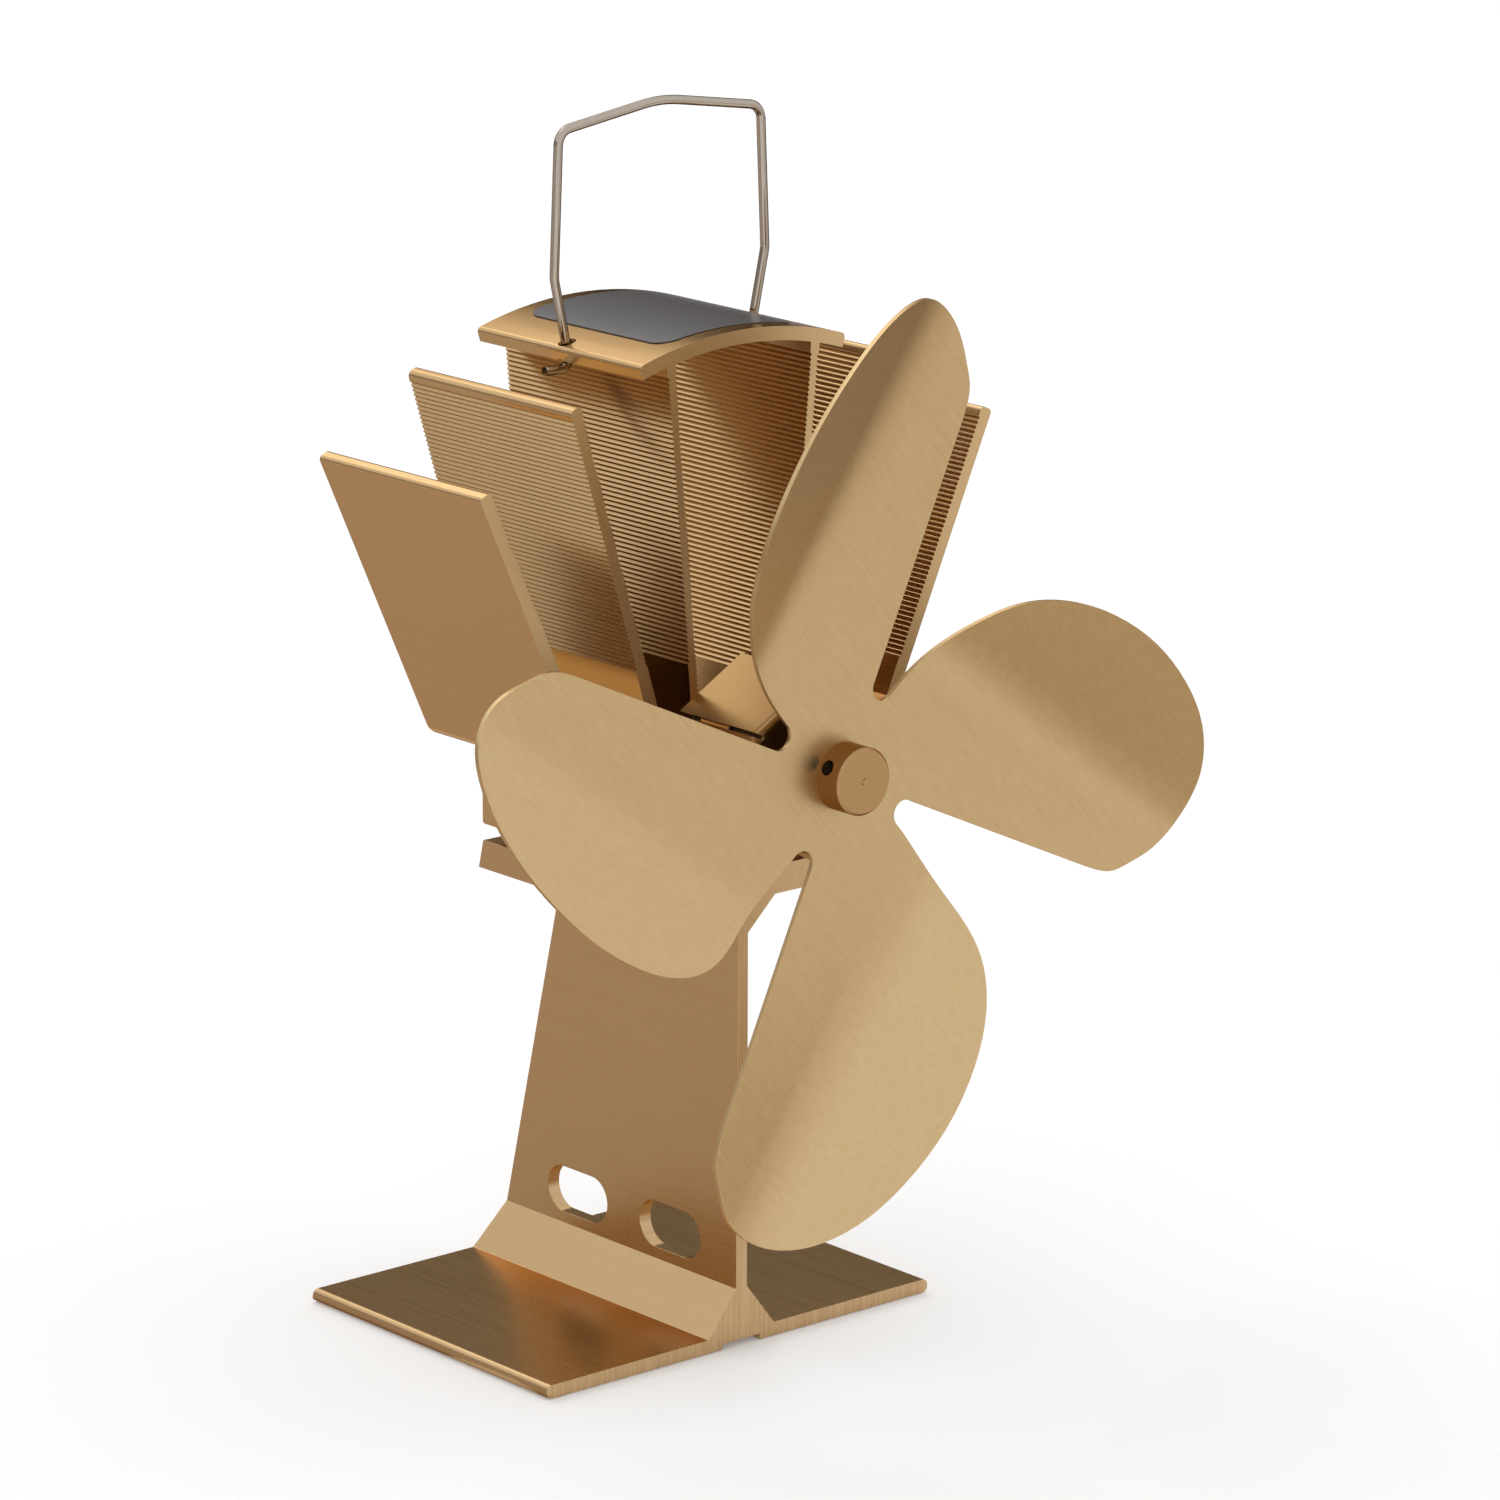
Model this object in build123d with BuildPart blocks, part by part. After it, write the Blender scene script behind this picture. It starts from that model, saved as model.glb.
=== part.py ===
from build123d import *
import os
from math import atan2, cos, pi, radians, sin, tan

# Stove fan driven by the heat of the stove it stands on.
# Millimetres, +X right, +Y back, +Z up, origin under the middle of the whole fan, on its underside.
# The propeller faces -Y.

# Stand, one extrusion cut square in front and on a slant behind
base_width = 96.6
base_thickness = 2.7
base_edge = 1.2
base_depth = 73.7
foot_half = 8.35
foot_height = 11.65
stem_thickness = 2.8
neck_height = 82.5
neck_half = 8.2
flange_underside = 89.0
flange_thickness = 5.7
flange_margin = 8.2
flange_depth = 50.0
groove_under_width = 9.4
groove_under_depth = 1.1
slot_length = 18.4
slot_height = 9.4
slot_centre_height = 18.6
slot_depth_shares = (0.288, 0.7)

# Generator module between the flange and the heat sink
module_side = 30.0
ceramic_thickness = 0.65
leg_height = 1.9
leg_side = 2.6
legs_per_row = 6
seal_width = 1.0
pad_thickness = 0.2
clamp_margin = 4.5
screw_diameter = 3.0
screw_head_diameter = 5.5
screw_head_height = 2.2
screw_socket = 2.5
screw_clearance = 0.2
clamp_screw_depth = 9.0
bush_outer = 4.2
bush_rim_diameter = 6.6
bush_rim = 0.8
spring_washer_height = 0.9

# Heat sink, one extrusion cut square at both ends, its heights measured from its underside
sink_depth = 48.3
block_overhang = 1.4
block_edge = 1.0
wing_height = 20.0
wing_corner = 4.0
wing_fillet = 3.0
floor_heights = (25.2, 22.2, 20.2)
floor_sag = 1.2
fin_tips = ((61.6, 78.2), (40.5, 91.5))
fin_tilts = (24.2, 16.95)
fin_thickness = 2.8
fin_corner = 0.9
bead_radius = 1.3
inner_fin_top_x = 17.6
inner_fin_tilt = 5.1
inner_fin_thickness = 2.1
sink_height = 101.25
plate_radius = 82.8
plate_thickness = 2.7
plate_half = 25.2
plate_edge = 1.0
groove_pitch = 0.955
groove_depth = 0.42
groove_margin = 2.0
groove_counts = (51, 54, 54, 58, 66)

# Label on the top plate
label_width = 33.2
label_length = 40.6
label_setback = 3.9
label_corner = 4.0
label_thickness = 0.25

# Wire handle in the top plate, its heights measured from the plate's crown
wire_diameter = 1.8
wire_sides = 16
handle_hole = 3.4
handle_hole_x = 22.8
hook_end_x = 28.2
hook_x = 22.0
hook_drop = 8.15
knee_x = 25.8
knee_height = 9.05
shoulder_x = 24.6
handle_height = 40.25
crown_rise = 3.7
handle_bends = (1.9, 6.0, 3.2)
handle_crown_bend = 30.0

# Motor bracket, a six-sided sheet cup round the motor's axis
axis_rise = 21.2
motor_side_gap = 3.0
bracket_length = 22.5
sheet_thickness = 1.0
bend_radius = 1.5
relief_width = 0.8
ear_width = 7.4
ear_height = 9.0
ear_top_rise = 0.7
ear_screw_inset = 3.4
ear_screw_depth = 6.0

# Motor, its parts set back from the can's front
motor_diameter = 24.0
can_length = 12.5
can_wall = 0.8
can_collar = 1.4
can_collar_diameter = 6.0
cap_thickness = 1.6
cap_plug = 0.8
bearing_diameter = 4.4
front_bearing_length = 2.7
rear_bearing_length = 2.2
shaft_diameter = 2.0
shaft_overhang = 0.2
running_gap = 0.04
magnet_thickness = 2.0
magnet_arc = 130.0
magnet_setback = 1.1
magnet_length = 9.0
air_gap = 0.5
core_setback = 2.7
core_length = 6.0
core_waist = 5.0
pole_count = 3
pole_arm = 3.0
pole_tip = 1.8
pole_gap = 2.4
coil_width = 1.3
coil_overhang = 1.0
coil_reach = (3.0, 6.2)
commutator_diameter = 4.4
commutator_setback = 9.9
commutator_length = 1.8
commutator_slit = 0.3
commutator_sleeve = 3.0
brush_setback = 10.2
brush_width = 1.4
brush_thickness = 0.3
brush_top = 2.0
terminal_width = 2.4
terminal_thickness = 0.6
terminal_tail = 3.0
terminal_drop = 8.5
terminal_x = 3.4
motor_screw_spacing = 16.0
motor_screw_diameter = 2.0
motor_screw_head = 3.6
motor_screw_head_height = 1.3
motor_screw_length = 2.1
lead_diameter = 1.3
lead_sides = 8
lead_front = 5.7
lead_bend = 5.0

# Hub and propeller
hub_diameter = 13.0
hub_length = 6.0
hub_chamfer = 0.5
hub_dimple = 0.7
hub_dimple_angle = 45.0
hub_spigot = 6.0
hub_rivet_diameter = 8.4
hub_rivet_height = 0.7
hub_front_wall = 1.2
set_screw_diameter = 3.0
set_screw_length = 4.0
set_screw_socket = 1.5
set_screw_turn = 62.8
set_screw_setback = 3.9
propeller_radius = 90.0
propeller_thickness = 1.0
propeller_gap = 5.1
blade_count = 4
notch_centre = (9.9, 15.4)
notch_radius = 2.6
edge_lean = 24.7
edge_end = (0.321, 0.700)
bulge_lean = 41.0
bulge_shares = (
    (-0.263, 0.298),
    (-0.313, 0.416),
    (-0.306, 0.544),
    (-0.258, 0.661),
    (-0.186, 0.768),
    (-0.082, 0.872),
    (0.069, 0.964),
    (0.220, 0.975),
    (0.306, 0.904),
    (0.337, 0.811),
)
bend_lean = 34.6
bend_offset = 22.5
bend_inside = 31.0
bend_angle = 26.0
blade_forward = 11.5

# Worked out from the dimensions above
flange_top = flange_underside + flange_thickness
flange_half = module_side / 2 + flange_margin
module_height = 2 * ceramic_thickness + leg_height
block_underside = flange_top + 2 * pad_thickness + module_height
block_half = flange_half + block_overhang
rear_slope = (base_depth - flange_depth) / flange_top
plate_crown = block_underside + sink_height
axis_height = block_underside + axis_rise
axis_places = [(0, axis_height)]
propeller_face = bracket_length + propeller_gap + propeller_thickness
front_y = (propeller_face + blade_forward - base_depth) / 2
mid_y = front_y + sink_depth / 2
clamp_x = module_side / 2 + clamp_margin
clamp_places = [(-clamp_x, mid_y), (clamp_x, mid_y)]
bracket_half = motor_diameter / 2 + motor_side_gap + sheet_thickness
ear_reach = bracket_half + ear_width
ear_screw_x = ear_reach - ear_screw_inset
ear_screw_z = axis_height + ear_top_rise - ear_height / 2
ear_screw_places = [(-ear_screw_x, ear_screw_z), (ear_screw_x, ear_screw_z)]


def front_plane(setback=0.0):
    """Upright plane facing forward, the given distance behind the cut faces."""
    return Plane.XZ.offset(-(front_y + setback))


os.makedirs("parts", exist_ok=True)


# Stand
with BuildPart() as stand:
    with BuildSketch(front_plane()) as stand_profile:
        with BuildLine():
            Polyline(
                (0, groove_under_depth),
                (groove_under_width / 2, groove_under_depth),
                (groove_under_width / 2, 0),
                (base_width / 2, 0),
                (base_width / 2, base_thickness),
                (foot_half, base_thickness),
                (stem_thickness / 2, foot_height),
                (stem_thickness / 2, neck_height),
                (neck_half, flange_underside),
                (flange_half, flange_underside),
                (flange_half, flange_top),
                (0, flange_top),
                close=True,
            )
        make_face()
        fillet(stand_profile.vertices().sort_by(Axis.X)[-2:], base_edge)
        mirror(about=Plane.YZ)
    extrude(amount=-base_depth)
    rear_cut = Plane(
        origin=(0, front_y + base_depth, 0),
        x_dir=(1, 0, 0),
        z_dir=(0, 1, rear_slope),
    )
    split(bisect_by=rear_cut, keep=Keep.BOTTOM)
    with BuildSketch(Plane.YZ):
        stem_depth = base_depth - rear_slope * slot_centre_height
        with Locations(
            *[(front_y + share * stem_depth, slot_centre_height) for share in slot_depth_shares]
        ):
            SlotOverall(slot_length, slot_height)
    extrude(amount=stem_thickness, both=True, mode=Mode.SUBTRACT)
    with BuildSketch(Plane.XY.offset(flange_top)):
        with Locations(*clamp_places):
            Circle(bush_outer / 2)
    extrude(amount=-flange_thickness, mode=Mode.SUBTRACT)
stand.part.label = "stand"
export_step(stand.part, "parts/stand.step")


# Generator module, from the flange up
def module_slab(bottom, thickness, side=module_side):
    """Square slab of the module, its underside at the given height."""
    with BuildPart() as slab:
        with BuildSketch(Plane.XY.offset(bottom)):
            with Locations((0, mid_y)):
                Rectangle(side, side)
        extrude(amount=thickness)
    return slab


lower_pad = module_slab(flange_top, pad_thickness)
lower_pad.part.label = "lower_thermal_pad"
export_step(lower_pad.part, "parts/lower_thermal_pad.step")

hot_ceramic_bottom = flange_top + pad_thickness
hot_ceramic = module_slab(hot_ceramic_bottom, ceramic_thickness)
hot_ceramic.part.label = "generator_hot_ceramic"
export_step(hot_ceramic.part, "parts/generator_hot_ceramic.step")

legs_bottom = hot_ceramic_bottom + ceramic_thickness
leg_pitch = (module_side - 2 * seal_width) / legs_per_row
with BuildPart() as legs:
    with BuildSketch(Plane.XY.offset(legs_bottom)):
        with Locations((0, mid_y)):
            with GridLocations(leg_pitch, leg_pitch, legs_per_row, legs_per_row):
                Rectangle(leg_side, leg_side)
    extrude(amount=leg_height)
legs.part.label = "generator_legs"
export_step(legs.part, "parts/generator_legs.step")

with BuildPart() as seal:
    with BuildSketch(Plane.XY.offset(legs_bottom)):
        with Locations((0, mid_y)):
            Rectangle(module_side, module_side)
            Rectangle(module_side - 2 * seal_width, module_side - 2 * seal_width, mode=Mode.SUBTRACT)
    extrude(amount=leg_height)
seal.part.label = "generator_seal"
export_step(seal.part, "parts/generator_seal.step")

cold_ceramic = module_slab(legs_bottom + leg_height, ceramic_thickness)
cold_ceramic.part.label = "generator_cold_ceramic"
export_step(cold_ceramic.part, "parts/generator_cold_ceramic.step")

upper_pad = module_slab(block_underside - pad_thickness, pad_thickness)
upper_pad.part.label = "upper_thermal_pad"
export_step(upper_pad.part, "parts/upper_thermal_pad.step")

# Clamp screws, with the spring washers and bushes that keep heat out of the screws
rim_bottom = flange_underside - bush_rim
with BuildPart() as bushes:
    with BuildSketch(Plane.XY.offset(flange_underside)):
        with Locations(*clamp_places):
            Circle(bush_outer / 2)
            Circle(screw_diameter / 2 + screw_clearance, mode=Mode.SUBTRACT)
    extrude(amount=flange_thickness)
    with BuildSketch(Plane.XY.offset(rim_bottom)):
        with Locations(*clamp_places):
            Circle(bush_rim_diameter / 2)
            Circle(screw_diameter / 2 + screw_clearance, mode=Mode.SUBTRACT)
    extrude(amount=bush_rim)
bushes.part.label = "clamp_bushes"
export_step(bushes.part, "parts/clamp_bushes.step")

washer_bottom = rim_bottom - spring_washer_height
with BuildPart() as spring_washers:
    with BuildSketch(Plane.XY.offset(washer_bottom)):
        with Locations(*clamp_places):
            Circle(screw_head_diameter / 2)
            Circle(screw_diameter / 2 + screw_clearance, mode=Mode.SUBTRACT)
    extrude(amount=spring_washer_height)
spring_washers.part.label = "clamp_spring_washers"
export_step(spring_washers.part, "parts/clamp_spring_washers.step")

with BuildPart() as clamp_screws:
    with BuildSketch(Plane.XY.offset(washer_bottom - screw_head_height)):
        with Locations(*clamp_places):
            Circle(screw_head_diameter / 2)
    extrude(amount=screw_head_height)
    with BuildSketch(Plane.XY.offset(washer_bottom)):
        with Locations(*clamp_places):
            Circle(screw_diameter / 2)
    extrude(amount=block_underside + clamp_screw_depth - washer_bottom)
    with BuildSketch(Plane.XY.offset(washer_bottom - screw_head_height)):
        with Locations(*clamp_places):
            RegularPolygon(screw_socket / 2, 6)
    extrude(amount=screw_head_height / 2, mode=Mode.SUBTRACT)
clamp_screws.part.label = "clamp_screws"
export_step(clamp_screws.part, "parts/clamp_screws.step")


# Heat sink
def fin_point(tip, tilt, height, offset):
    """Point on a fin's face at a height, offset outward from its centre line."""
    face_x = tip[0] + offset / cos(radians(tilt))
    return (face_x - (tip[1] - height) * tan(radians(tilt)), height)


def fin_end(tip, tilt, offset):
    """Corner of a fin's tip, square to its centre line."""
    return (tip[0] + offset * cos(radians(tilt)), tip[1] - offset * sin(radians(tilt)))


def grooved(start, end, count, side, margin=groove_margin):
    """Points from start to end with V grooves, cut to the right when side is 1."""
    run = Vector(*end) - Vector(*start)
    along = run.normalized()
    into = Vector(along.Y, -along.X) * side
    first = Vector(*start) + along * margin
    points = [start, (first.X, first.Y)]
    for i in range(count):
        lip = first + along * ((i + 1) * groove_pitch)
        bottom = lip - along * (groove_pitch / 2) + into * groove_depth
        points += [(bottom.X, bottom.Y), (lip.X, lip.Y)]
    return points + [end]


def plate_point(x, radius):
    """Point on an arc of the curved top plate."""
    return (x, plate_crown - plate_radius + (radius**2 - x**2) ** 0.5)


half = fin_thickness / 2
inner_half = inner_fin_thickness / 2
outer_tip, middle_tip = [(x, block_underside + height) for x, height in fin_tips]
wing_underside = block_underside + wing_height
outer_tilt, middle_tilt = fin_tilts
under_radius = plate_radius - plate_thickness
inner_tip = (inner_fin_top_x, plate_point(inner_fin_top_x, under_radius)[1])
inner_out_top = plate_point(inner_fin_top_x + inner_half, under_radius)
inner_in_top = plate_point(inner_fin_top_x - inner_half, under_radius)
plate_end_x = plate_half * under_radius / plate_radius
outer_floor, middle_floor, inner_floor = [block_underside + height for height in floor_heights]
wing_out = fin_point(outer_tip, outer_tilt, wing_underside, half)
outer_root = fin_point(outer_tip, outer_tilt, outer_floor, -half)
middle_root_out = fin_point(middle_tip, middle_tilt, outer_floor, half)
middle_root_in = fin_point(middle_tip, middle_tilt, middle_floor, -half)
inner_root_out = fin_point(inner_tip, inner_fin_tilt, middle_floor, inner_half)
inner_root_in = fin_point(inner_tip, inner_fin_tilt, inner_floor, -inner_half)
outer_sag = ((outer_root[0] + middle_root_out[0]) / 2, outer_floor - floor_sag)
middle_sag = ((middle_root_in[0] + inner_root_out[0]) / 2, middle_floor - floor_sag)
corners = (
    (block_half, block_underside),
    (block_half, wing_underside),
    wing_out,
    fin_end(outer_tip, outer_tilt, half),
    fin_end(outer_tip, outer_tilt, -half),
    fin_end(middle_tip, middle_tilt, half),
    fin_end(middle_tip, middle_tilt, -half),
    plate_point(plate_half, plate_radius),
)
corner_radii = (
    block_edge,
    wing_fillet,
    wing_corner,
    fin_corner,
    fin_corner,
    bead_radius,
    fin_corner,
    plate_edge,
)

with BuildPart() as heat_sink:
    with BuildSketch(front_plane()) as sink_profile:
        with BuildLine():
            Polyline((0, block_underside), *corners[:4])
            Line(corners[3], corners[4])
            Polyline(*grooved(corners[4], outer_root, groove_counts[0], -1))
            ThreePointArc(outer_root, outer_sag, middle_root_out)
            Polyline(*reversed(grooved(corners[5], middle_root_out, groove_counts[1], 1)))
            Line(corners[5], corners[6])
            Polyline(*grooved(corners[6], middle_root_in, groove_counts[2], -1))
            ThreePointArc(middle_root_in, middle_sag, inner_root_out)
            Polyline(*reversed(grooved(inner_out_top, inner_root_out, groove_counts[3], 1)))
            ThreePointArc(
                inner_out_top,
                plate_point((inner_out_top[0] + plate_end_x) / 2, under_radius),
                plate_point(plate_end_x, under_radius),
            )
            Line(plate_point(plate_end_x, under_radius), corners[7])
            ThreePointArc(corners[7], plate_point(plate_half / 2, plate_radius), (0, plate_crown))
            Line((0, plate_crown), (0, block_underside))
        make_face()
        for corner, radius in zip(corners, corner_radii):
            fillet(sink_profile.vertices().sort_by_distance(corner + (0,))[0], radius)
        mirror(about=Plane.YZ)
        with BuildLine():
            ThreePointArc(
                (-inner_in_top[0], inner_in_top[1]),
                (0, plate_crown - plate_thickness),
                inner_in_top,
            )
            Polyline(*grooved(inner_in_top, inner_root_in, groove_counts[4], -1))
            ThreePointArc(
                inner_root_in,
                (0, inner_floor - floor_sag),
                (-inner_root_in[0], inner_root_in[1]),
            )
            Polyline(*[(-x, z) for x, z in reversed(
                grooved(inner_in_top, inner_root_in, groove_counts[4], -1))])
        make_face(mode=Mode.SUBTRACT)
    extrude(amount=-sink_depth)
    with BuildSketch(Plane.XY.offset(plate_crown)):
        with Locations((-handle_hole_x, mid_y), (handle_hole_x, mid_y)):
            Circle(handle_hole / 2)
    extrude(amount=-3 * plate_thickness, mode=Mode.SUBTRACT)
    with BuildSketch(Plane.XY.offset(block_underside)):
        with Locations(*clamp_places):
            Circle(screw_diameter / 2)
    extrude(amount=clamp_screw_depth, mode=Mode.SUBTRACT)
    with BuildSketch(front_plane()):
        with Locations(*ear_screw_places):
            Circle(screw_diameter / 2)
    extrude(amount=-ear_screw_depth, mode=Mode.SUBTRACT)
heat_sink.part.label = "heat_sink"
export_step(heat_sink.part, "parts/heat_sink.step")


# Label, a plain plate lying on the curved top plate
with BuildPart() as label:
    with BuildSketch(front_plane(label_setback)):
        with BuildLine():
            label_half = label_width / 2
            over = plate_radius + label_thickness
            under_arc = ThreePointArc(
                plate_point(-label_half, plate_radius),
                (0, plate_crown),
                plate_point(label_half, plate_radius),
            )
            over_arc = ThreePointArc(
                plate_point(-label_half, over),
                plate_point(0, over),
                plate_point(label_half, over),
            )
            Line(under_arc @ 0, over_arc @ 0)
            Line(under_arc @ 1, over_arc @ 1)
        make_face()
    extrude(amount=-label_length)
    with BuildSketch(Plane.XY.offset(plate_crown - plate_thickness)):
        with Locations((0, front_y + label_setback + label_length / 2)):
            RectangleRounded(label_width, label_length, label_corner)
    extrude(amount=2 * plate_thickness, mode=Mode.INTERSECT)
label.part.label = "label"
export_step(label.part, "parts/label.step")


# Carry handle, bent from wire, with a hook under each end of the top plate
hook_z = plate_crown - hook_drop
handle_crown = plate_crown + handle_height
handle_points = (
    (hook_end_x, hook_z),
    (hook_x, hook_z),
    (knee_x, plate_crown + knee_height),
    (shoulder_x, handle_crown - crown_rise),
)
left_points = [(-x, z) for x, z in reversed(handle_points)]
with BuildPart() as handle:
    with BuildLine(Plane.XZ.offset(-mid_y)) as handle_path:
        FilletPolyline(
            *handle_points,
            (0, handle_crown),
            *left_points,
            radius=handle_bends + (handle_crown_bend,) + handle_bends[::-1],
        )
    with BuildSketch(Plane(origin=(hook_end_x, mid_y, hook_z), z_dir=(-1, 0, 0))):
        RegularPolygon(wire_diameter / 2, wire_sides)
    sweep(path=handle_path.wires()[0])
handle.part.label = "carry_handle"
export_step(handle.part, "parts/carry_handle.step")


# Motor bracket, a folded six-sided sheet cup with its two lower sides left open for the leads
motor_screw_places = [
    (-motor_screw_spacing / 2, axis_height),
    (motor_screw_spacing / 2, axis_height),
]
open_half = bracket_half - sheet_thickness
with BuildPart() as bracket:
    with BuildSketch(front_plane(-bracket_length)):
        with Locations(*axis_places):
            RegularPolygon(bracket_half, 6, major_radius=False, rotation=30)
    extrude(amount=-bracket_length)
    fillet(bracket.faces().sort_by(Axis.Y)[0].edges(), bend_radius)
    offset(amount=-sheet_thickness, openings=bracket.faces().sort_by(Axis.Y)[-1])
    with BuildSketch(front_plane(-bracket_length)):
        with Locations(*axis_places):
            with PolarLocations(bracket_half / cos(pi / 6), 6, start_angle=30):
                Rectangle(4 * sheet_thickness, relief_width)
    extrude(amount=-bracket_length, mode=Mode.SUBTRACT)
    with BuildSketch(front_plane(bend_radius - bracket_length)):
        with Locations((0, axis_height - bracket_half - relief_width)):
            Rectangle(2 * open_half, bracket_half)
    extrude(amount=-bracket_length, mode=Mode.SUBTRACT)
    with BuildSketch(front_plane(-sheet_thickness)):
        for side in (-1, 1):
            with Locations((side * (open_half + ear_reach) / 2, ear_screw_z)):
                Rectangle(ear_reach - open_half, ear_height)
    extrude(amount=-sheet_thickness)
    with BuildSketch(front_plane(-bracket_length)):
        with Locations(*axis_places):
            Circle(can_collar_diameter / 2)
        with Locations(*motor_screw_places):
            Circle(motor_screw_diameter / 2)
        with Locations(*ear_screw_places):
            Circle(screw_diameter / 2)
    extrude(amount=-bracket_length, mode=Mode.SUBTRACT)
bracket.part.label = "motor_bracket"
export_step(bracket.part, "parts/motor_bracket.step")


def front_rod(places, diameter, front, back, bore=0.0):
    """Round rods or tubes along the fan's axis, from one distance in front to another."""
    with BuildPart() as rods:
        with BuildSketch(front_plane(-front)):
            with Locations(*places):
                Circle(diameter / 2)
                if bore:
                    Circle(bore / 2, mode=Mode.SUBTRACT)
        extrude(amount=back - front)
    return rods.part


# Screws that hold the bracket's ears to the heat sink
with BuildPart() as bracket_screws:
    add(front_rod(ear_screw_places, screw_diameter, sheet_thickness, -ear_screw_depth))
    ear_head_front = sheet_thickness + screw_head_height
    add(front_rod(ear_screw_places, screw_head_diameter, ear_head_front, sheet_thickness))
    with BuildSketch(front_plane(-ear_head_front)):
        with Locations(*ear_screw_places):
            RegularPolygon(screw_socket / 2, 6)
    extrude(amount=-screw_head_height / 2, mode=Mode.SUBTRACT)
bracket_screws.part.label = "bracket_screws"
export_step(bracket_screws.part, "parts/bracket_screws.step")


# Screws that hold the motor to the bracket's front
with BuildPart() as motor_screws:
    head_front = bracket_length + motor_screw_head_height
    add(front_rod(motor_screw_places, motor_screw_head, head_front, bracket_length))
    screw_end = bracket_length - motor_screw_length
    add(front_rod(motor_screw_places, motor_screw_diameter, bracket_length, screw_end))
    with BuildSketch(front_plane(-head_front)):
        with Locations(*motor_screw_places):
            for turn in (0, 90):
                Rectangle(2 * motor_screw_head / 3, motor_screw_head / 6, rotation=turn)
    extrude(amount=-motor_screw_head_height / 2, mode=Mode.SUBTRACT)
motor_screws.part.label = "motor_screws"
export_step(motor_screws.part, "parts/motor_screws.step")


# Motor can, a drawn cup with a collar that centres it in the bracket
can_inside = motor_diameter - 2 * can_wall
can_front = bracket_length - sheet_thickness
can_back = can_front - can_length
collar_front = can_front + can_collar
with BuildPart() as can:
    add(front_rod(axis_places, motor_diameter, can_front, can_back))
    add(front_rod(axis_places, can_collar_diameter, collar_front, can_front))
    with BuildSketch(front_plane(can_wall - can_front)):
        with Locations(*axis_places):
            Circle(can_inside / 2)
    extrude(amount=can_back - can_front + can_wall, mode=Mode.SUBTRACT)
    with BuildSketch(front_plane(-collar_front)):
        with Locations(*axis_places):
            Circle(bearing_diameter / 2)
        with Locations(*motor_screw_places):
            Circle(motor_screw_diameter / 2)
    extrude(amount=-can_collar - 2 * can_wall, mode=Mode.SUBTRACT)
can.part.label = "motor_can"
export_step(can.part, "parts/motor_can.step")


# Motor end cap, with a plug in the can and a seat for the rear bearing
terminal_places = [
    (-terminal_x, axis_height - terminal_drop),
    (terminal_x, axis_height - terminal_drop),
]
cap_back = can_back - cap_thickness
rear_bearing_front = cap_back + rear_bearing_length
with BuildPart() as cap:
    add(front_rod(axis_places, motor_diameter, can_back, cap_back))
    add(front_rod(axis_places, can_inside, can_back + cap_plug, can_back))
    with BuildSketch(front_plane(-can_front)):
        with Locations(*axis_places):
            Circle(bearing_diameter / 2)
        with Locations(*terminal_places):
            Rectangle(terminal_width, terminal_thickness)
    extrude(amount=-can_front, mode=Mode.SUBTRACT)
cap.part.label = "motor_end_cap"
export_step(cap.part, "parts/motor_end_cap.step")


# Bearings of the motor shaft
bore = shaft_diameter + 2 * running_gap
bearing_back = collar_front - front_bearing_length
front_bearing = front_rod(axis_places, bearing_diameter, collar_front, bearing_back, bore)
front_bearing.label = "front_bearing"
export_step(front_bearing, "parts/front_bearing.step")

rear_bearing = front_rod(axis_places, bearing_diameter, rear_bearing_front, cap_back, bore)
rear_bearing.label = "rear_bearing"
export_step(rear_bearing, "parts/rear_bearing.step")


# Magnets, two arcs lining the can
magnet_front = can_front - magnet_setback
magnet_back = magnet_front - magnet_length
with BuildPart() as magnets:
    bore_left = can_inside - 2 * magnet_thickness
    add(front_rod(axis_places, can_inside, magnet_front, magnet_back, bore_left))
    gap_angle = radians(180 - magnet_arc) / 2
    with BuildSketch(front_plane(-magnet_front)):
        for side in (-1, 1):
            with BuildLine():
                edge = side * motor_diameter
                corner_z = axis_height + edge * cos(gap_angle)
                corner_x = motor_diameter * sin(gap_angle)
                Polyline(
                    (0, axis_height),
                    (corner_x, corner_z),
                    (-corner_x, corner_z),
                    close=True,
                )
            make_face()
    extrude(amount=magnet_back - magnet_front, mode=Mode.SUBTRACT)
magnets.part.label = "motor_magnets"
export_step(magnets.part, "parts/motor_magnets.step")


# Brushes, two leaves beside the commutator that stand on the terminals
terminal_top = axis_height - terminal_drop + terminal_thickness / 2
brush_front = can_front - brush_setback
brush_inside = commutator_diameter / 2 + running_gap
brush_height = axis_height + brush_top - terminal_top
with BuildPart() as brushes:
    with BuildSketch(front_plane(-brush_front)):
        for side in (-1, 1):
            brush_x = side * (brush_inside + brush_thickness / 2)
            with Locations((brush_x, terminal_top + brush_height / 2)):
                Rectangle(brush_thickness, brush_height)
    extrude(amount=-brush_width)
brushes.part.label = "motor_brushes"
export_step(brushes.part, "parts/motor_brushes.step")

with BuildPart() as terminals:
    with BuildSketch(front_plane(-brush_front)):
        with Locations(*terminal_places):
            Rectangle(terminal_width, terminal_thickness)
    extrude(amount=cap_back - terminal_tail - brush_front)
terminals.part.label = "motor_terminals"
export_step(terminals.part, "parts/motor_terminals.step")


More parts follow.
